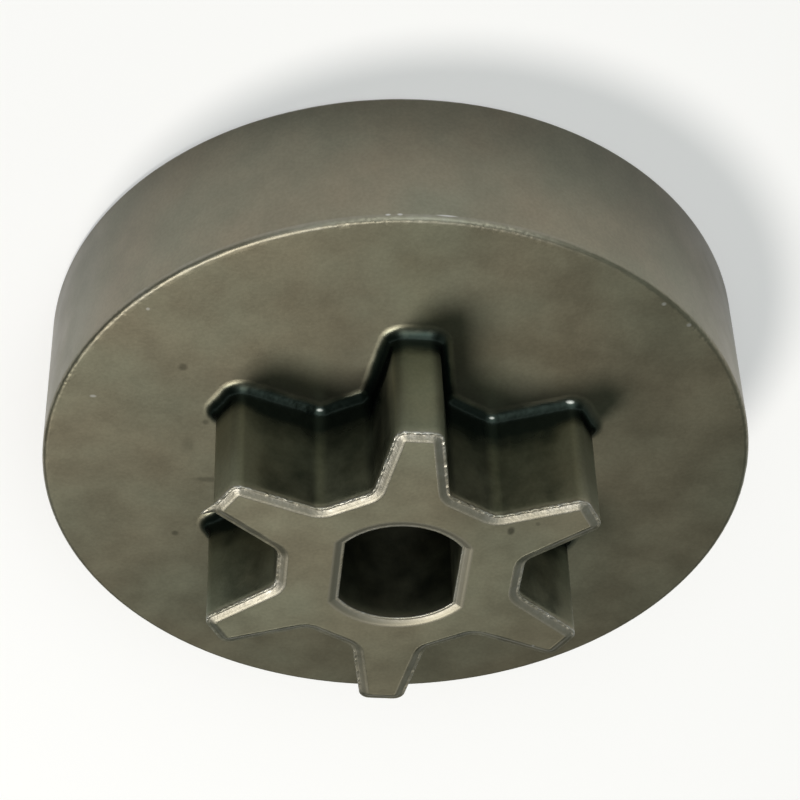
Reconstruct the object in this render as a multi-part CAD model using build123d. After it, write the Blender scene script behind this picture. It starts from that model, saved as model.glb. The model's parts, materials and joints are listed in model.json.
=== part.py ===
from build123d import *
import os
from math import radians, tan

# Chainsaw drive sprocket: a star-shaped pinion standing on a thick plain drum, pressed and
# sintered as one piece, with a flatted bore for the saw's output shaft.
# Frame: millimetres, Z along the bore, back face on Z = 0, pinion upwards, one tooth on +Y.

# Drum
drum_diameter = 50.2
drum_thickness = 12.05
rim_edge_break = 0.35

# Pinion
tooth_count = 6
pinion_height = 9.15
tip_diameter = 29.0
tip_width = 3.1
flank_angle = 9.6  # degrees, each flank to the tooth's centre line
root_across_flats = 17.0
base_fillet_radius = 0.9
root_corner_land = 0.35  # radius left in a root corner where the base fillet meets the drum

# Pressed edge of the pinion's end, round the star and round the bore
end_chamfer_width = 0.6
end_chamfer_depth = 0.2
tip_corner_land = 0.25  # radius left on a tooth's corner inside the chamfer

# Bore
bore_diameter = 10.0
bore_flat_depth = 1.0
back_mouth_break = 0.4

# Derived sizes
overall_height = drum_thickness + pinion_height
bore_across_flats = bore_diameter - 2 * bore_flat_depth
root_corner_radius = base_fillet_radius + root_corner_land
tip_corner_radius = end_chamfer_width + tip_corner_land


def drum():
    """Plain round drum with both rims broken."""
    blank = extrude(Circle(drum_diameter / 2), drum_thickness)
    rims = blank.edges().filter_by(GeomType.CIRCLE)
    return chamfer(rims, rim_edge_break)


def tooth():
    """One tapered tooth on +Y, running in to the axis, where the root polygon covers it."""
    half_tip = tip_width / 2
    tip_radius = tip_diameter / 2
    half_base = half_tip + tip_radius * tan(radians(flank_angle))
    return make_face(
        Polyline(
            (-half_base, 0),
            (half_base, 0),
            (half_tip, tip_radius),
            (-half_tip, tip_radius),
            close=True,
        )
    )


def star():
    """Outline of the pinion: a root polygon with a tooth on each corner."""
    to_tooth = 360 / tooth_count
    outline = RegularPolygon(root_across_flats / 2, tooth_count, major_radius=False, rotation=90)
    for index in range(tooth_count):
        outline += Rot(Z=index * to_tooth) * tooth()
    corners = outline.vertices().sort_by_distance((0, 0, 0))
    root_corners = corners[: 2 * tooth_count]
    outline = fillet(root_corners, root_corner_radius)
    corners = outline.vertices().sort_by_distance((0, 0, 0))
    tip_corners = corners[-2 * tooth_count :]
    return fillet(tip_corners, tip_corner_radius)


def bore_section():
    """Round bore with a flat on each side, square to X."""
    return Circle(bore_diameter / 2) & Rectangle(bore_across_flats, bore_diameter)


def sprocket():
    """Drum and pinion in one piece, filleted together, bored and chamfered."""
    body = drum() + extrude(Pos(Z=drum_thickness) * star(), pinion_height)

    front_face = body.faces().filter_by(Axis.Z).sort_by(SortBy.AREA)[-2]
    body = fillet(front_face.inner_wires()[0].edges(), base_fillet_radius)

    body -= extrude(bore_section(), overall_height)

    end_face = body.faces().sort_by(Axis.Z)[-1]
    body = chamfer(
        end_face.edges(),
        length=end_chamfer_width,
        length2=end_chamfer_depth,
        reference=end_face,
    )

    back_face = body.faces().sort_by(Axis.Z)[0]
    return chamfer(back_face.inner_wires()[0].edges(), back_mouth_break)


os.makedirs("parts", exist_ok=True)
export_step(sprocket(), "parts/sprocket.step")
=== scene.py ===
import bmesh
import bpy
import json
from math import cos, pi, radians, sin, tan
from mathutils import Matrix, Vector


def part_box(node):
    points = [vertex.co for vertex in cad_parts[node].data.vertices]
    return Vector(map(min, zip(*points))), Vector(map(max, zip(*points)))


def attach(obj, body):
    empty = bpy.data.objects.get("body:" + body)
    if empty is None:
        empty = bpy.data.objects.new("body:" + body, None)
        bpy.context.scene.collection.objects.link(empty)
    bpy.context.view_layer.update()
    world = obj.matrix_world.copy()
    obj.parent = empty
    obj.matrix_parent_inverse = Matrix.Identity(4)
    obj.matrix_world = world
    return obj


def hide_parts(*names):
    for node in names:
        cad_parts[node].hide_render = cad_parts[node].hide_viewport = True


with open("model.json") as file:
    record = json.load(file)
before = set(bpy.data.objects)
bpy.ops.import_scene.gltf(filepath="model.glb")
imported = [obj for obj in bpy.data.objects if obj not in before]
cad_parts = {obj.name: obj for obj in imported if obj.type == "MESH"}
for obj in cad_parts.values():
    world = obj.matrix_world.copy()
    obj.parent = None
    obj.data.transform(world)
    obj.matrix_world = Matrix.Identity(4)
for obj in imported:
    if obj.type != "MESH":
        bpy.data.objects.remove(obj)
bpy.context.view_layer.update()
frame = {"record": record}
scene = bpy.context.scene
mm = 0.001

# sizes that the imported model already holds
mounts = {mount["name"]: mount for mount in frame["record"]["mounts"]}
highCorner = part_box("sprocket")[1]
toothMiddle = mounts["chain_teeth"]["pos_m"]  # tip of the tooth on +Y, half-way up
endHeight = highCorner.z
drumTop = 2 * toothMiddle[2] - endHeight
tipRadius = toothMiddle[1]
rimRadius = mounts["rim"]["dims"]["r_mm"] * mm
rimBreak = (drumTop - mounts["rim"]["dims"]["length_mm"] * mm) / 2
print("frame loaded, drum", round(rimRadius * 2000, 2), "mm across")


# node helpers, shared by the geometry tree, the materials and the surroundings

def put(tree, kind, feeds=None, **settings):
    node = tree.nodes.new(kind)
    for name, value in settings.items():
        setattr(node, name, value)
    for socket, value in (feeds or {}).items():
        if isinstance(value, bpy.types.NodeSocket):
            tree.links.new(value, node.inputs[socket])
        else:
            node.inputs[socket].default_value = value
    return node


def calc(tree, operation, first, second=0.0, third=0.0):
    feeds = {0: first, 1: second, 2: third}
    return put(tree, "ShaderNodeMath", feeds, operation=operation).outputs[0]


def vectorCalc(tree, operation, first, second=(0, 0, 0)):
    node = put(tree, "ShaderNodeVectorMath", {0: first, 1: second}, operation=operation)
    single = operation in ("DOT_PRODUCT", "LENGTH", "DISTANCE")
    return node.outputs["Value" if single else "Vector"]


def stretch(tree, vector, amount):
    feeds = {0: vector, "Scale": amount}
    return put(tree, "ShaderNodeVectorMath", feeds, operation="SCALE").outputs["Vector"]


def blendNumbers(tree, share, low, high):
    feeds = {0: share, 2: low, 3: high}
    return put(tree, "ShaderNodeMix", feeds, data_type="FLOAT").outputs[0]


def blendVectors(tree, share, low, high):
    feeds = {0: share, 4: low, 5: high}
    return put(tree, "ShaderNodeMix", feeds, data_type="VECTOR").outputs[1]


def blendColours(tree, share, low, high):
    feeds = {0: share, 6: low, 7: high}
    return put(tree, "ShaderNodeMix", feeds, data_type="RGBA").outputs[2]


def splitVector(tree, vector):
    return put(tree, "ShaderNodeSeparateXYZ", {0: vector}).outputs


def spread(tree, value, low, high, toLow=0.0, toHigh=1.0):
    feeds = {0: value, 1: low, 2: high, 3: toLow, 4: toHigh}
    return put(tree, "ShaderNodeMapRange", feeds, interpolation_type="SMOOTHSTEP").outputs[0]


# the sprocket: one section loop swept round the star

sprocketShape = {
    "teeth": 6,
    "tipWidth": 3.1 * mm,
    "flankAngle": radians(9.6),
    "rootFlats": 17.0 * mm,
    "tipCorner": 0.85 * mm,
    "rootCorner": 1.25 * mm,
    "baseFillet": 0.9 * mm,
    "chamferWidth": 0.6 * mm,
    "chamferDepth": 0.2 * mm,
    "boreRadius": 5.0 * mm,
    "boreFlat": 4.0 * mm,      # from the axis
    "backMouth": 0.4 * mm,
    "stations": 1000,          # points round the star
    "cornerSteps": 12,
    "weldDistance": 0.001 * mm,
    "endLand": 0.24 * mm,      # narrow flat outside the chamfer, left by the press
    "softRound": 0.5 * mm,     # where the chamfer leaves the end face
    "landRound": 0.15 * mm,
    "edgeRound": 0.06 * mm,
    "backRound": 0.08 * mm,    # edges that the back's breaks leave
    "endNick": 0.05 * mm,
    "endFlash": 0.09 * mm,     # ragged lip standing on the end's outer edge
    "rimNick": 0.025 * mm,
    "rimInset": 0.008 * mm,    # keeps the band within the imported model's facets
    "nickGrain": 3500.0,       # nicks per metre along an edge
    "nickDetail": 2.0,
    "nickRange": (0.44, 0.74),             # part of the noise that bites into an edge
    "nickedAndLitSide": (-0.5, 0.2, 0.25, 1.0),  # edges facing -Y stay dull and soiled as painted shade; the others are nicked, bared and scuffed where highlights fall, partly painted highlight; from, to, least, most
    "seed": 7.0,
    "burrPlace": Vector((-13.05, 6.15, 0)) * mm,
    "burrLean": Vector((-0.85, -0.62, 0.02)) * mm,
    "burrWidth": 0.26 * mm,
    "rubbedAndLitSide": Vector((-0.35, 0.94, 0)),  # painted highlight: the side where the front rim is bared and scuffed; the rest of the rim is soiled as painted shade
    "rubbedAndLitRange": (0.6, 0.92, 0.1, 1.0),
}

# how each edge is left: bare metal, dull scuffing, and soil that also paints shade; which side of an edge
# gets which follows the highlights, as painted light and shade
edgeFinish = {
    "boreEdge": {"wear": 0.8},
    "boreLand": {"wear": 0.2, "scuff": 1.0},
    "boreChamfer": {"scuff": 0.8},
    "endChamfer": {"wear": 0.3, "soilAndShade": 0.42, "scuff": 0.8},
    "endLand": {"wear": 0.5, "soilAndShade": 0.42, "scuff": 1.0},
    "endEdge": {"wear": 1.0, "soilAndShade": 0.35},
    "frontRim": {"wear": 0.15, "soilAndShade": 0.15, "scuff": 0.4},
    "backRim": {"wear": 0.5},
    "backMouth": {"wear": 0.4},
}

boreTrack, starTrack, rimTrack, backTrack = 0, 1, 2, 3  # outlines that the section follows in turn
lipShare = 0.3  # of the nicks and the flash, on the land inside the end's edge

# loops beside an edge: distance in mm, grime (dark oil that also paints shade)
plainBefore = ((0.3, 0.0), (0.1, 0.0))
plainAfter = ((0.1, 0.0), (0.3, 0.0))
# painted shade: grime darkening the bore's wall towards its mouth
mouthBefore = ((0.8, 0.3), (0.3, 0.15), (0.1, 0.0))
chamferBefore = ((0.06, 0.0),)
# painted shade: grime darkening the foot of the pinion's walls
rootBefore = ((3.0, 0.0), (1.2, 0.25), (0.3, 0.7))

# loops across a flat: share of the way, grime (dark oil that also paints shade)
evenFill = ((0.3, 0.0), (0.65, 0.0))
wallFill = ((0.5, 0.0),)
deckFill = ((0.05, 0.0), (0.15, 0.0), (0.4, 0.0), (0.7, 0.0))
# painted shade: grime darkening the bore's wall
boreFill = ((0.1, 0.4), (0.5, 0.45), (0.9, 0.4))
rootGrimeAndShade = (0.85, 0.0)  # grime at the start and the end of the fillet: oil that also paints the crease's shade


def roundCorner(before, corner, after, radius, steps):
    toBefore = (before - corner).normalized()
    toAfter = (after - corner).normalized()
    half = toBefore.angle(toAfter) / 2
    reach = radius / tan(half)
    centre = corner + (toBefore + toAfter).normalized() * (radius / sin(half))
    start = corner + toBefore * reach - centre
    end = corner + toAfter * reach - centre
    return [centre + start.slerp(end, step / steps) * radius for step in range(steps + 1)]


def plainState(dirtAndShade):
    return 0.0, 0.0, 0.0, 0.0, dirtAndShade, 0.0, 0.0


def sectionLoop(shape, finish):
    # each row: track, offset from that outline, height, wear, nick outwards, nick upwards, burr,
    # grime (oil that also paints shade), soil with painted shade on the sides that nothing rubs, scuffing
    rows = []
    top, deck = endHeight, drumTop
    wide, deep, land = shape["chamferWidth"], shape["chamferDepth"], shape["endLand"]
    nick, flash, chip = shape["endNick"], shape["endFlash"], shape["rimNick"]
    fillet, mouth = shape["baseFillet"], shape["backMouth"]
    soft, turn, edge = shape["softRound"], shape["landRound"], shape["edgeRound"]
    small = shape["backRound"]
    ledge = top - deep
    far = 5 * mm  # any point along a straight

    def corner(track, before, at, after, radius, steps, wear=0.0, soilAndShade=0.0, scuff=0.0,
               nicks=(0, 0), burr=0.0, grimeAndShade=(0, 0), fill=(), lead=(), trail=()):
        before, at, after = Vector(before), Vector(at), Vector(after)
        arc = roundCorner(before, at, after, radius, steps)
        points = []
        for distance, dirtAndShade in lead:
            place = arc[0] + (before - at).normalized() * distance * mm
            points.append((place, *plainState(dirtAndShade)))
        for step, point in enumerate(arc):
            dirtAndShade = grimeAndShade[0] + (grimeAndShade[1] - grimeAndShade[0]) * (step / steps) ** 3
            points.append((point, wear, *nicks, burr, dirtAndShade, soilAndShade, scuff))
        for distance, dirtAndShade in trail:
            place = arc[-1] + (after - at).normalized() * distance * mm
            points.append((place, *plainState(dirtAndShade)))
        first = points[0][0]
        last = rows[-1] if rows else None
        for share, dirtAndShade in fill:
            place = [a + (b - a) * share for a, b in zip(last[:3], (track, first.x, first.y))]
            rows.append((*place, *plainState(dirtAndShade)))
        for point, *state in points:
            rows.append((track, point.x, point.y, *state))

    # bore's mouth and the pinion's end: edge, narrow land, chamfer, flat
    corner(boreTrack, (0, 0), (0, ledge), (land, ledge), edge, 3,
           nicks=(chip, 0), lead=mouthBefore, **finish["boreEdge"])
    corner(boreTrack, (0, ledge), (land, ledge), (wide, top), turn, 2, **finish["boreLand"])
    corner(boreTrack, (land, ledge), (wide, top), (far, top), soft, 3,
           trail=plainAfter, **finish["boreChamfer"])
    corner(starTrack, (-far, top), (-wide, top), (-land, ledge), soft, 4,
           fill=evenFill, lead=chamferBefore, **finish["endChamfer"])
    corner(starTrack, (-wide, top), (-land, ledge), (0, ledge), turn, 2,
           nicks=(-nick * lipShare, flash * lipShare), **finish["endLand"])
    corner(starTrack, (-land, ledge), (0, ledge), (0, 0), edge, 4,
           nicks=(-nick, flash), burr=1.0, trail=plainAfter, **finish["endEdge"])
    # root of the pinion, with oil and dust in the fillet, darkened further as painted shade of the crease
    corner(starTrack, (0, top), (0, deck), (far, deck), fillet, 10,
           grimeAndShade=rootGrimeAndShade, fill=wallFill, lead=rootBefore, trail=plainAfter)
    # rim, front and back
    corner(rimTrack, (-far, deck), (0, deck), (0, 0), rimBreak, 8,
           nicks=(-chip, -chip), fill=deckFill, lead=plainBefore, trail=plainAfter, **finish["frontRim"])
    corner(rimTrack, (0, deck), (0, rimBreak), (-rimBreak, 0), small, 2,
           fill=evenFill, lead=plainBefore, **finish["backRim"])
    corner(rimTrack, (0, rimBreak), (-rimBreak, 0), (-far, 0), small, 2,
           trail=plainAfter, **finish["backRim"])
    # bore's back mouth and wall
    corner(backTrack, (far, 0), (mouth, 0), (0, mouth), small, 2,
           fill=evenFill, lead=plainBefore, **finish["backMouth"])
    corner(backTrack, (mouth, 0), (0, mouth), (0, top), small, 2,
           trail=plainAfter, **finish["backMouth"])
    backHeight, frontHeight = rows[-1][2], rows[0][2]
    for share, dirtAndShade in boreFill:
        height = backHeight + (frontHeight - backHeight) * share
        rows.append((backTrack, 0.0, height, *plainState(dirtAndShade)))
    return rows


def sectionMesh(rows):
    mesh = bpy.data.meshes.new("section")
    count = len(rows)
    mesh.from_pydata([row[:3] for row in rows], [(n, (n + 1) % count) for n in range(count)], [])
    names = ("wear", "nickOut", "nickUp", "burr", "grimeAndShade", "soilAndShade", "scuff")
    for column, name in enumerate(names, start=3):
        values = mesh.attributes.new(name, "FLOAT", "POINT")
        values.data.foreach_set("value", [row[column] for row in rows])
    return mesh


def starSweepTree(shape):
    tree = bpy.data.node_groups.new("starSweep", "GeometryNodeTree")
    inputs = {
        "Section": "Geometry", "Teeth": "Int", "Stations": "Int",
        "Tip Along": "Float", "Tip Across": "Float", "Root Along": "Float", "Root Across": "Float",
        "Tip Corner": "Float", "Root Corner": "Float", "Bore Radius": "Float", "Bore Flat": "Float",
        "Rim Radius": "Float", "Nick Grain": "Float", "Seed": "Float",
        "Burr Place": "Vector", "Burr Lean": "Vector", "Burr Width": "Float",
        "Rubbed And Lit Side": "Vector", "Finish": "Material",
    }
    for name, kind in inputs.items():
        tree.interface.new_socket(name, in_out="INPUT", socket_type="NodeSocket" + kind)
    tree.interface.new_socket("Sprocket", in_out="OUTPUT", socket_type="NodeSocketGeometry")
    given = put(tree, "NodeGroupInput").outputs
    position = put(tree, "GeometryNodeInputPosition").outputs[0]
    index = put(tree, "GeometryNodeInputIndex").outputs[0]

    # star outline: four corners to a tooth, rounded, then evenly spaced points
    ring = put(tree, "GeometryNodeMeshCircle", {"Vertices": calc(tree, "MULTIPLY", given["Teeth"], 4.0)})
    tooth = calc(tree, "FLOOR", calc(tree, "DIVIDE", index, 4.0))
    fromMiddle = calc(tree, "SUBTRACT", calc(tree, "FLOORED_MODULO", index, 4.0), 1.5)
    isTip = calc(tree, "LESS_THAN", calc(tree, "ABSOLUTE", fromMiddle), 1.0)
    along = blendNumbers(tree, isTip, given["Root Along"], given["Tip Along"])
    halfWidth = blendNumbers(tree, isTip, given["Root Across"], given["Tip Across"])
    across = calc(tree, "MULTIPLY", calc(tree, "SIGN", fromMiddle), halfWidth)
    onX = put(tree, "ShaderNodeCombineXYZ", {0: along, 1: across}).outputs[0]
    turn = calc(tree, "MULTIPLY_ADD", tooth, calc(tree, "DIVIDE", 2 * pi, given["Teeth"]), pi / 2)
    turned = put(tree, "ShaderNodeVectorRotate", {"Vector": onX, "Angle": turn}, rotation_type="Z_AXIS")
    placed = {"Geometry": ring.outputs[0], "Position": turned.outputs[0]}
    corners = put(tree, "GeometryNodeSetPosition", placed)
    radius = blendNumbers(tree, isTip, given["Root Corner"], given["Tip Corner"])
    marked = put(
        tree, "GeometryNodeStoreNamedAttribute",
        {"Geometry": corners.outputs[0], "Name": "cornerRadius", "Value": radius},
        data_type="FLOAT", domain="POINT",
    )
    curve = put(tree, "GeometryNodeMeshToCurve", {0: marked.outputs[0]})
    kept = put(tree, "GeometryNodeInputNamedAttribute", {"Name": "cornerRadius"}, data_type="FLOAT")
    rounded = put(
        tree, "GeometryNodeFilletCurve",
        {"Curve": curve.outputs[0], "Count": shape["cornerSteps"], "Radius": kept.outputs[0]},
        mode="POLY",
    )
    star = put(
        tree, "GeometryNodeResampleCurve",
        {"Curve": rounded.outputs[0], "Count": given["Stations"]}, mode="COUNT",
    ).outputs[0]

    # closed sheet of stations by section points
    layers = put(tree, "GeometryNodeAttributeDomainSize", {0: given["Section"]}).outputs["Point Count"]
    sheet = put(
        tree, "GeometryNodeMeshGrid",
        {
            "Size X": given["Stations"], "Size Y": layers,
            "Vertices X": calc(tree, "ADD", given["Stations"], 1.0),
            "Vertices Y": calc(tree, "ADD", layers, 1.0),
        },
    ).outputs["Mesh"]
    onSheet = splitVector(tree, position)

    def countAlong(place, total):
        number = calc(tree, "ROUND", calc(tree, "MULTIPLY_ADD", total, 0.5, place))
        return calc(tree, "FLOORED_MODULO", number, total)

    station = countAlong(onSheet[0], given["Stations"])
    layer = countAlong(onSheet[1], layers)

    def onStar(step):
        number = calc(tree, "FLOORED_MODULO", calc(tree, "ADD", station, step), given["Stations"])
        feeds = {0: star, 1: position, 2: number}
        return put(tree, "GeometryNodeSampleIndex", feeds, data_type="FLOAT_VECTOR").outputs[0]

    def onSection(name):
        value = put(tree, "GeometryNodeInputNamedAttribute", {"Name": name}, data_type="FLOAT").outputs[0]
        feeds = {0: given["Section"], 1: value, 2: layer}
        return put(tree, "GeometryNodeSampleIndex", feeds, data_type="FLOAT").outputs[0]

    here = onStar(0.0)
    tangent = vectorCalc(tree, "SUBTRACT", onStar(1.0), onStar(-1.0))
    up = (0.0, 0.0, 1.0)
    around = calc(tree, "SIGN", splitVector(tree, vectorCalc(tree, "CROSS_PRODUCT", here, tangent))[2])
    sideways = vectorCalc(tree, "NORMALIZE", vectorCalc(tree, "CROSS_PRODUCT", tangent, up))
    outwards = stretch(tree, sideways, around)
    spoke = vectorCalc(tree, "NORMALIZE", here)
    sectionPoint = put(
        tree, "GeometryNodeSampleIndex",
        {0: given["Section"], 1: position, 2: layer}, data_type="FLOAT_VECTOR",
    ).outputs[0]
    track, offset, height = splitVector(tree, sectionPoint)

    # the three outlines at this station, and the one that the section follows here
    leastSlant = 0.01  # keeps the flats' reach finite along Y
    slant = calc(tree, "MAXIMUM", calc(tree, "ABSOLUTE", splitVector(tree, spoke)[0]), leastSlant)
    flatReach = calc(tree, "DIVIDE", calc(tree, "ADD", given["Bore Flat"], offset), slant)
    boreReach = calc(tree, "MINIMUM", calc(tree, "ADD", given["Bore Radius"], offset), flatReach)
    onBore = stretch(tree, spoke, boreReach)
    onTeeth = vectorCalc(tree, "ADD", here, stretch(tree, outwards, offset))
    onRim = stretch(tree, spoke, calc(tree, "ADD", given["Rim Radius"], offset))

    def follow(bore, teeth, rim):
        result = bore
        for start, target in ((boreTrack, teeth), (starTrack, rim), (rimTrack, bore)):
            passed = calc(tree, "SUBTRACT", track, float(start))
            share = put(tree, "ShaderNodeClamp", {0: passed}).outputs[0]
            result = blendVectors(tree, share, result, target)
        return result

    flat = follow(onBore, onTeeth, onRim)
    facing = follow(spoke, outwards, spoke)
    smooth = vectorCalc(tree, "ADD", flat, put(tree, "ShaderNodeCombineXYZ", {2: height}).outputs[0])

    # small nicks along the edges, and one burr left on a tooth's corner
    noise = put(
        tree, "ShaderNodeTexNoise",
        {
            "Vector": smooth, "W": given["Seed"],
            "Scale": given["Nick Grain"], "Detail": shape["nickDetail"],
        },
        noise_dimensions="4D",
    ).outputs[0]
    nickedAndLit = spread(tree, splitVector(tree, facing)[1], *shape["nickedAndLitSide"])
    nick = calc(tree, "MULTIPLY", spread(tree, noise, *shape["nickRange"]), nickedAndLit)
    nickSide = stretch(tree, facing, calc(tree, "MULTIPLY", nick, onSection("nickOut")))
    rise = calc(tree, "MULTIPLY", nick, onSection("nickUp"))
    nickUp = put(tree, "ShaderNodeCombineXYZ", {2: rise}).outputs[0]
    away = vectorCalc(tree, "DISTANCE", flat, given["Burr Place"])
    fall = calc(tree, "POWER", calc(tree, "DIVIDE", away, given["Burr Width"]), 2.0)
    hump = calc(tree, "EXPONENT", calc(tree, "MULTIPLY", fall, -1.0))
    burr = stretch(tree, given["Burr Lean"], calc(tree, "MULTIPLY", hump, onSection("burr")))
    final = vectorCalc(tree, "ADD", smooth, nickSide)
    final = vectorCalc(tree, "ADD", final, nickUp)
    final = vectorCalc(tree, "ADD", final, burr)

    # painted light and shade: edges are bared and scuffed on the side where highlights fall and soiled on
    # the other, over real wear and dirt
    towards = vectorCalc(tree, "DOT_PRODUCT", facing, given["Rubbed And Lit Side"])
    onLitSide = spread(tree, towards, *shape["rubbedAndLitRange"])
    pastStar = calc(tree, "GREATER_THAN", track, (starTrack + rimTrack) / 2)
    beforeStar = calc(tree, "LESS_THAN", track, (boreTrack + starTrack) / 2)
    nickedAndLit = blendNumbers(tree, pastStar, nickedAndLit, onLitSide)
    nickedAndLit = blendNumbers(tree, beforeStar, nickedAndLit, 1.0)
    wornOnLitSide = calc(tree, "MULTIPLY", onSection("wear"), nickedAndLit)
    soilAndShade = calc(tree, "MULTIPLY", onSection("soilAndShade"), calc(tree, "SUBTRACT", 1.0, nickedAndLit))
    dirtAndShade = calc(tree, "ADD", onSection("grimeAndShade"), soilAndShade)
    scuff = calc(tree, "MULTIPLY", onSection("scuff"), nickedAndLit)
    made = sheet
    for name, value in (("wear", wornOnLitSide), ("grimeAndShade", dirtAndShade), ("scuff", scuff)):
        made = put(
            tree, "GeometryNodeStoreNamedAttribute",
            {"Geometry": made, "Name": name, "Value": value}, data_type="FLOAT", domain="POINT",
        ).outputs[0]
    for kind, feeds in (
        ("GeometryNodeSetPosition", {"Position": final}),
        ("GeometryNodeMergeByDistance", {"Distance": shape["weldDistance"]}),
        ("GeometryNodeRealizeInstances", {}),
        ("GeometryNodeSetMaterial", {"Material": given["Finish"]}),
    ):
        made = put(tree, kind, {0: made, **feeds}).outputs[0]
    put(tree, "NodeGroupOutput", {0: made})
    return tree


def setInputs(modifier, values):
    for item in modifier.node_group.interface.items_tree:
        if item.item_type == "SOCKET" and item.in_out == "INPUT" and item.name in values:
            modifier[item.identifier] = values[item.name]


def makeSprocket(shape, edges, finish):
    sprocket = bpy.data.objects.new("sprocketBody", sectionMesh(sectionLoop(shape, edges)))
    scene.collection.objects.link(sprocket)
    slope = tan(shape["flankAngle"])
    tipAcross = shape["tipWidth"] / 2
    halfPitch = pi / shape["teeth"]
    # flank and root flat meet where both lines agree
    baseAcross = tipAcross + slope * tipRadius
    lean = cos(halfPitch) - slope * sin(halfPitch)
    rootAlong = (shape["rootFlats"] / 2 - baseAcross * sin(halfPitch)) / lean
    modifier = sprocket.modifiers.new("starSweep", "NODES")
    modifier.node_group = starSweepTree(shape)
    setInputs(modifier, {
        "Teeth": shape["teeth"],
        "Stations": shape["stations"],
        "Tip Along": tipRadius,
        "Tip Across": tipAcross,
        "Root Along": rootAlong,
        "Root Across": baseAcross - slope * rootAlong,
        "Tip Corner": shape["tipCorner"],
        "Root Corner": shape["rootCorner"],
        "Bore Radius": shape["boreRadius"],
        "Bore Flat": shape["boreFlat"],
        "Rim Radius": rimRadius - shape["rimInset"],
        "Nick Grain": shape["nickGrain"],
        "Seed": shape["seed"],
        "Burr Place": shape["burrPlace"],
        "Burr Lean": shape["burrLean"],
        "Burr Width": shape["burrWidth"],
        "Rubbed And Lit Side": shape["rubbedAndLitSide"],
        "Finish": finish,
    })
    graph = bpy.context.evaluated_depsgraph_get()
    evaluated = sprocket.evaluated_get(graph)
    mesh = bpy.data.meshes.new_from_object(evaluated, preserve_all_data_layers=True, depsgraph=graph)
    sprocket.modifiers.remove(modifier)
    sprocket.data = mesh
    work = bmesh.new()
    work.from_mesh(mesh)
    bmesh.ops.recalc_face_normals(work, faces=work.faces)
    openEdges = sum(1 for edge in work.edges if not edge.is_manifold)
    volume = work.calc_volume(signed=True)
    work.to_mesh(mesh)
    work.free()
    mesh.shade_smooth()
    print("sprocket mesh", len(mesh.polygons), "faces, open edges", openEdges)
    print("sprocket volume", round(volume * 1e6, 3), "cm3")
    return sprocket


# finish: oiled sintered steel

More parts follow.
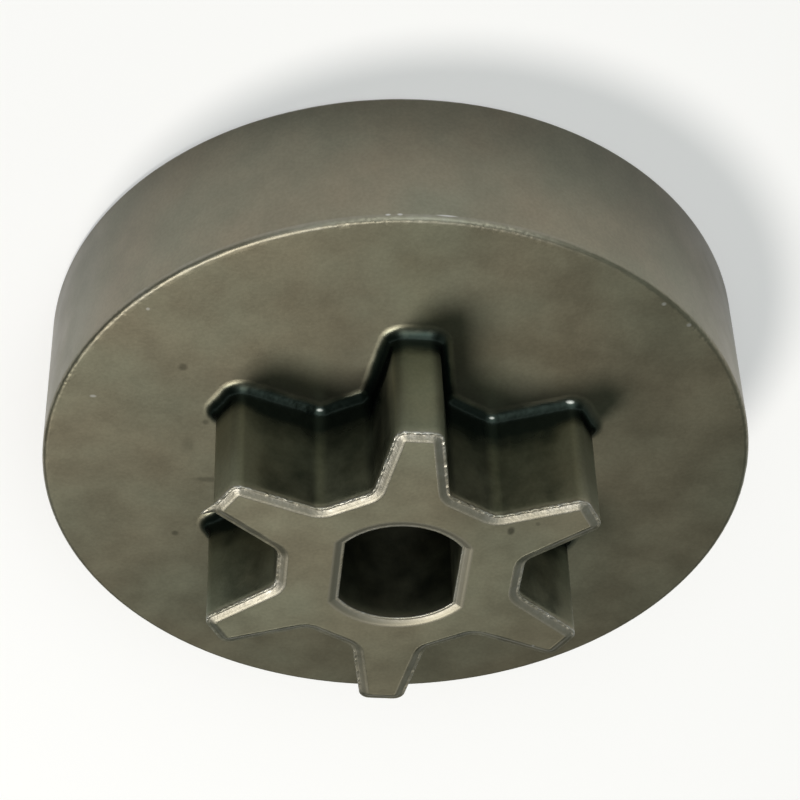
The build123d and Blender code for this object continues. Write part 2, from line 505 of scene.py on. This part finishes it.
steelLook = {
    "warm": (0.189, 0.169, 0.124, 1),
    "green": (0.171, 0.173, 0.131, 1),
    "bandTint": (1.02, 1.0, 1.0),
    "bandShadeFade": (0.66, 1.14),  # painted shade: darker towards the back rim, lighter towards the front
    "shadeFadeFrom": -4.0 * mm,
    "wallShadeTint": (0.96, 1.03, 0.97),    # painted shade: a greener tint on the pinion's sides, which lie in shade
    "scuff": (0.245, 0.232, 0.192, 1),
    "bareAndGlints": (0.47, 0.465, 0.45, 1),
    "grimeAndShade": (0.025, 0.034, 0.030, 1),
    "roughness": 0.45,
    "bandRoughness": 0.36,     # side that the die has smoothed
    "endPaintedLight": 1.36,           # painted light: the pinion's end face is made a little lighter
    "scuffRoughness": 0.5,
    "bareRoughness": 0.36,
    "grimeRoughness": 0.22,
    "metallic": 0.92,
    "edgeTint": (0.85, 0.85, 0.85, 1),
    "grimeTint": (0.3, 0.3, 0.3, 1),
    "rootShadeFilm": 0.37,          # painted shade: a dark oil film on the walls between the teeth
    "shadeFilmReach": (tipRadius - 0.2 * mm, tipRadius - 2.4 * mm),
    "shadeFilmInside": 6.0 * mm,    # the bore's wall has its own grime and painted shade
    "paintedLightReach": (endHeight - 1.0 * mm, endHeight - 0.2 * mm),
    "wallFoot": (drumTop, drumTop + 0.4 * mm),
    "wallHead": (endHeight - 0.3 * mm, endHeight - 0.7 * mm),
    "patchRange": (0.2, 0.8),
    "mottleRange": (0.3, 0.7, 0.95, 1.05),
    "cloudRange": (0.3, 0.7, -0.03, 0.05),
    "oilAndShadeRange": (0.1, 0.8),
    "oilAndShadeRaggedness": 0.5,
    "rubRange": (0.4, 0.62),
    "rubShare": (0.5, 0.4),    # bare metal that comes and goes, and that is always there
    "stretchRange": (0.38, 0.6, 0.35, 1.0),
    "dentHeight": 1.2,         # against the pores
    "gritHeight": 9.0,
    "lumpHeight": 12.0,
    "reliefStrength": 0.2,
    "reliefDepth": 0.02 * mm,
    # noises: grains per metre, detail, roughness
    "noises": {
        "patches": (130.0, 3.0, 0.5),
        "mottle": (420.0, 5.0, 0.5),
        "grain": (4200.0, 2.0, 0.5),
        "oilAndShade": (600.0, 4.0, 0.5),
        "rub": (1800.0, 4.0, 0.5),
        "stretches": (260.0, 2.0, 0.5),
        "cloud": (260.0, 4.0, 0.5),
        "pores": (5200.0, 3.0, 0.6),
        "dents": (700.0, 2.0, 0.5),
        "grit": (6500.0, 1.0, 0.5),
        "lumps": (1100.0, 2.0, 0.5),
    },
    # painted light patches, dark spots, and bright flecks (most of them painted highlights): centre and
    # half sizes in mm, strength
    # painted light: a lighter patch on the tip wall of the tooth on +Y
    "paintedLightPatches": (
        ((0.25, 14.50, 16.60), (1.70, 0.8, 5.5), 0.40),
    ),
    "spots": (
        ((-15.52, 10.21, 12.05), (0.45, 0.5, 0.4), 0.40),
        ((-15.52, -7.38, 12.05), (0.35, 0.4, 0.4), 0.40),
        ((-13.20, -1.30, 12.05), (1.60, 0.4, 0.4), 0.30),
        ((-13.75, 4.77, 12.05), (0.35, 0.4, 0.4), 0.35),
        ((-14.90, 2.30, 12.05), (0.70, 1.1, 0.4), 0.16),
        ((7.07, 5.26, 21.20), (0.35, 0.6, 0.3), 0.55),
        ((8.80, 6.10, 21.20), (0.25, 0.3, 0.3), 0.30),
    ),
    # bright flecks of bare metal: those on the face are light specks; those on the rim, the fillet and
    # the end's edges are painted highlights
    "flecksAndGlints": (
        ((-21.57, 6.91, 12.05), (0.30, 0.18, 0.3), 0.8),
        ((-18.02, 15.64, 12.05), (0.18, 0.18, 0.3), 0.7),
        ((-2.88, 24.95, 11.68), (0.25, 0.16, 0.12), 1.0),
        ((-2.11, 25.02, 11.67), (0.25, 0.16, 0.12), 1.0),
        ((0.95, 25.08, 11.66), (0.95, 0.16, 0.10), 1.0),
        ((16.18, 18.47, 12.05), (0.22, 0.22, 0.4), 1.0),
        ((18.20, 16.61, 12.05), (0.22, 0.22, 0.4), 1.0),
        ((-5.95, 6.76, 12.27), (0.36, 0.16, 0.16), 0.75),
        ((6.00, 6.76, 12.27), (0.32, 0.14, 0.15), 0.75),
        ((11.22, 8.74, 12.27), (0.42, 0.18, 0.18), 1.0),
        ((10.83, -3.71, 21.10), (0.15, 0.20, 0.3), 1.0),
        ((10.25, -7.32, 21.10), (0.15, 0.20, 0.3), 1.0),
    ),
}


markEdge = (1.0, 0.3)  # a mark fades in between these shares of its half sizes


def marksOf(tree, coords, marks):
    total = None
    for centre, halves, strength in marks:
        shifted = vectorCalc(tree, "SUBTRACT", coords, [value * mm for value in centre])
        scaled = vectorCalc(tree, "DIVIDE", shifted, [value * mm for value in halves])
        mark = spread(tree, vectorCalc(tree, "LENGTH", scaled), *markEdge, 0.0, strength)
        total = mark if total is None else calc(tree, "MAXIMUM", total, mark)
    return total


def makeSteel(look):
    material = bpy.data.materials.new("sinteredSteel")
    material.use_nodes = True
    tree = material.node_tree
    shader = tree.nodes["Principled BSDF"]
    coords = put(tree, "ShaderNodeTexCoord").outputs["Object"]
    wear = put(tree, "ShaderNodeAttribute", attribute_name="wear").outputs["Fac"]
    dirtAndShade = put(tree, "ShaderNodeAttribute", attribute_name="grimeAndShade").outputs["Fac"]
    scuff = put(tree, "ShaderNodeAttribute", attribute_name="scuff").outputs["Fac"]

    def noise(name):
        scale, detail, roughness = look["noises"][name]
        feeds = {"Vector": coords, "Scale": scale, "Detail": detail, "Roughness": roughness}
        return put(tree, "ShaderNodeTexNoise", feeds).outputs[0]

    # pressed skin: warm and greenish patches, finer mottling, grain
    patches = spread(tree, noise("patches"), *look["patchRange"])
    colour = blendColours(tree, patches, look["warm"], look["green"])
    mottle = spread(tree, noise("mottle"), *look["mottleRange"])
    grain = spread(tree, noise("grain"), *look["mottleRange"])
    shade = calc(tree, "MULTIPLY", mottle, grain)
    # dark spots, and painted light on the tip wall of the tooth on +Y
    for operation, marks in (("SUBTRACT", "spots"), ("ADD", "paintedLightPatches")):
        share = calc(tree, operation, 1.0, marksOf(tree, coords, look[marks]))
        shade = calc(tree, "MULTIPLY", shade, share)
    height = splitVector(tree, coords)[2]
    radius = vectorCalc(tree, "LENGTH", vectorCalc(tree, "MULTIPLY", coords, (1.0, 1.0, 0.0)))
    onBand = calc(tree, "GREATER_THAN", radius, rimRadius - rimBreak / 2)
    # painted shade: the band made darker towards the back rim
    bandShade = spread(tree, height, look["shadeFadeFrom"], drumTop, *look["bandShadeFade"])
    shade = calc(tree, "MULTIPLY", shade, blendNumbers(tree, onBand, 1.0, bandShade))
    # painted light: the pinion's end face made lighter
    paintedEndLight = spread(tree, height, *look["paintedLightReach"], 1.0, look["endPaintedLight"])
    colour = stretch(tree, colour, calc(tree, "MULTIPLY", shade, paintedEndLight))
    aboveFoot = spread(tree, height, *look["wallFoot"])
    belowHead = spread(tree, height, *look["wallHead"])
    onWall = calc(tree, "MULTIPLY", aboveFoot, belowHead)
    # the band's own tint, and the painted-shade tint on the pinion's sides
    for area, tint in ((onBand, look["bandTint"]), (onWall, look["wallShadeTint"])):
        tinted = blendVectors(tree, area, (1.0, 1.0, 1.0), tint)
        colour = vectorCalc(tree, "MULTIPLY", colour, tinted)

    # oil in the fillet and between the teeth, darkened further as painted shade, then scuffed slopes and
    # bare metal on the edges
    belowTip = spread(tree, radius, *look["shadeFilmReach"])
    outsideBore = calc(tree, "GREATER_THAN", radius, look["shadeFilmInside"])
    between = calc(tree, "MULTIPLY", belowTip, outsideBore)
    shadeFilm = calc(tree, "MULTIPLY", onWall, between)
    dirtAndShade = calc(tree, "MULTIPLY_ADD", shadeFilm, look["rootShadeFilm"], dirtAndShade)
    centred = calc(tree, "ADD", dirtAndShade, -look["oilAndShadeRaggedness"] / 2)
    ragged = calc(tree, "MULTIPLY_ADD", noise("oilAndShade"), look["oilAndShadeRaggedness"], centred)
    oilAndShade = spread(tree, ragged, *look["oilAndShadeRange"])
    colour = blendColours(tree, scuff, colour, look["scuff"])
    colour = blendColours(tree, oilAndShade, colour, look["grimeAndShade"])
    rub = spread(tree, noise("rub"), *look["rubRange"])
    stretches = spread(tree, noise("stretches"), *look["stretchRange"])
    bareAndGlints = calc(tree, "MULTIPLY", wear, calc(tree, "MULTIPLY_ADD", rub, *look["rubShare"]))
    bareAndGlints = calc(tree, "MULTIPLY", bareAndGlints, stretches)
    # bright flecks, most of them painted highlights
    bareAndGlints = calc(tree, "MAXIMUM", bareAndGlints, marksOf(tree, coords, look["flecksAndGlints"]))
    colour = blendColours(tree, bareAndGlints, colour, look["bareAndGlints"])
    tree.links.new(colour, shader.inputs["Base Color"])

    # sheen
    middle = blendNumbers(tree, onBand, look["roughness"], look["bandRoughness"])
    cloud = spread(tree, noise("cloud"), *look["cloudRange"])
    satin = calc(tree, "ADD", middle, cloud)
    satin = blendNumbers(tree, scuff, satin, look["scuffRoughness"])
    satin = blendNumbers(tree, oilAndShade, satin, look["grimeRoughness"])
    satin = blendNumbers(tree, bareAndGlints, satin, look["bareRoughness"])
    tree.links.new(satin, shader.inputs["Roughness"])
    shader.inputs["Metallic"].default_value = look["metallic"]
    tint = blendColours(tree, oilAndShade, look["edgeTint"], look["grimeTint"])
    tree.links.new(tint, shader.inputs["Specular Tint"])

    # relief: pores everywhere, broken grit along the worn edges
    skin = calc(tree, "MULTIPLY_ADD", noise("dents"), look["dentHeight"], noise("pores"))
    grit = calc(tree, "MULTIPLY", noise("grit"), calc(tree, "MULTIPLY", wear, look["gritHeight"]))
    lumps = calc(tree, "MULTIPLY", noise("lumps"), calc(tree, "MULTIPLY", dirtAndShade, look["lumpHeight"]))
    relief = calc(tree, "ADD", skin, calc(tree, "ADD", grit, lumps))
    bump = put(
        tree, "ShaderNodeBump",
        {"Strength": look["reliefStrength"], "Distance": look["reliefDepth"], "Height": relief},
    )
    tree.links.new(bump.outputs[0], shader.inputs["Normal"])
    return material


steel = makeSteel(steelLook)
sprocket = makeSprocket(sprocketShape, edgeFinish, steel)
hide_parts("sprocket")
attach(sprocket, "root")
print("sprocket in place")


# studio: pale floor, small key from the far left above, soft surroundings

studio = {
    "floorColour": (0.92, 0.92, 0.965, 1),
    "floorGlow": 0.36,            # share of plain white that the camera and reflections see
    "floorSize": 6.0,
    "floorGap": 0.05 * mm,
    "keyFrom": Vector((-0.255, -0.27, 0.925)),
    "keyDistance": 0.45,
    "keyWidth": 0.15,
    "keyPower": 1.41,
    "keyColour": (1.0, 0.95, 0.86),
    "ambient": (0.035, 0.055, 0.04),
    "horizon": (0.48, 0.48, 0.47),
    "horizonHeight": 0.12,
    # soft lobes of the surroundings: direction, width, colour
    "lobes": (
        (Vector((0.05, 0.68, 0.73)), radians(22), (2.5, 2.62, 2.5)),
        (Vector((0.06, 0.97, 0.20)), radians(28), (1.22, 1.26, 1.2)),
        (Vector((0.90, -0.22, 0.38)), radians(28), (0.36, 0.37, 0.34)),
    ),
}


def makeFloor(look):
    material = bpy.data.materials.new("paleFloor")
    material.use_nodes = True
    tree = material.node_tree
    tree.nodes.clear()
    path = put(tree, "ShaderNodeLightPath").outputs
    seen = calc(tree, "MAXIMUM", path["Is Camera Ray"], path["Is Glossy Ray"])
    seen = calc(tree, "MAXIMUM", seen, path["Is Transmission Ray"])
    share = calc(tree, "MULTIPLY", seen, look["floorGlow"])
    paint = put(tree, "ShaderNodeBsdfDiffuse", {"Color": look["floorColour"]})
    glow = put(tree, "ShaderNodeEmission", {"Color": (1, 1, 1, 1), "Strength": 1.0})
    mixed = put(tree, "ShaderNodeMixShader", {0: share, 1: paint.outputs[0], 2: glow.outputs[0]})
    put(tree, "ShaderNodeOutputMaterial", {0: mixed.outputs[0]})
    mesh = bpy.data.meshes.new("floor")
    half = look["floorSize"] / 2
    drop = -look["floorGap"]
    corners = [(-half, -half, drop), (half, -half, drop), (half, half, drop), (-half, half, drop)]
    mesh.from_pydata(corners, [], [(0, 1, 2, 3)])
    mesh.materials.append(material)
    floor = bpy.data.objects.new("floor", mesh)
    scene.collection.objects.link(floor)


def makeKey(look):
    lamp = bpy.data.lights.new("keySoftbox", "AREA")
    lamp.shape = "DISK"
    lamp.size = look["keyWidth"]
    lamp.energy = look["keyPower"]
    lamp.color = look["keyColour"]
    key = bpy.data.objects.new("keySoftbox", lamp)
    direction = look["keyFrom"].normalized()
    key.location = direction * look["keyDistance"]
    key.rotation_euler = direction.to_track_quat("Z", "Y").to_euler()
    scene.collection.objects.link(key)


def makeSurroundings(look):
    world = bpy.data.worlds.new("surroundings")
    scene.world = world
    world.use_nodes = True
    tree = world.node_tree
    background = tree.nodes["Background"]
    direction = put(tree, "ShaderNodeTexCoord").outputs["Generated"]
    low = calc(tree, "DIVIDE", splitVector(tree, direction)[2], look["horizonHeight"])
    band = calc(tree, "EXPONENT", calc(tree, "MULTIPLY", calc(tree, "POWER", low, 2.0), -1.0))
    colour = vectorCalc(tree, "ADD", stretch(tree, look["horizon"], band), look["ambient"])
    for towards, width, tint in look["lobes"]:
        near = vectorCalc(tree, "DOT_PRODUCT", direction, towards.normalized())
        fall = calc(tree, "DIVIDE", calc(tree, "SUBTRACT", near, 1.0), 1 - cos(width))
        colour = vectorCalc(tree, "ADD", colour, stretch(tree, tint, calc(tree, "EXPONENT", fall)))
    tree.links.new(colour, background.inputs["Color"])
    background.inputs["Strength"].default_value = 1.0


makeFloor(studio)
makeKey(studio)
makeSurroundings(studio)
print("studio ready")


# camera at the photograph's angle, turned over so that the pinion hangs down

view = {
    "place": Vector((-15.97, 138.14, 133.43)) * mm,
    "right": Vector((0.99520, 0.09452, 0.02547)),
    "back": Vector((-0.08659, 0.72875, 0.67928)),
    "lens": 116.45,
    "sensor": 36.0,
    "nearest": 0.01,
}


def makeCamera(look):
    data = bpy.data.cameras.new("photoCamera")
    data.lens = look["lens"]
    data.sensor_width = look["sensor"]
    data.clip_start = look["nearest"]
    camera = bpy.data.objects.new("photoCamera", data)
    back = look["back"].normalized()
    upwards = back.cross(look["right"]).normalized()
    right = upwards.cross(back)
    pose = Matrix((right, upwards, back)).transposed().to_4x4()
    pose.translation = look["place"]
    camera.matrix_world = pose
    scene.collection.objects.link(camera)
    scene.camera = camera


makeCamera(view)
scene.view_settings.view_transform = "Standard"
print("camera ready")
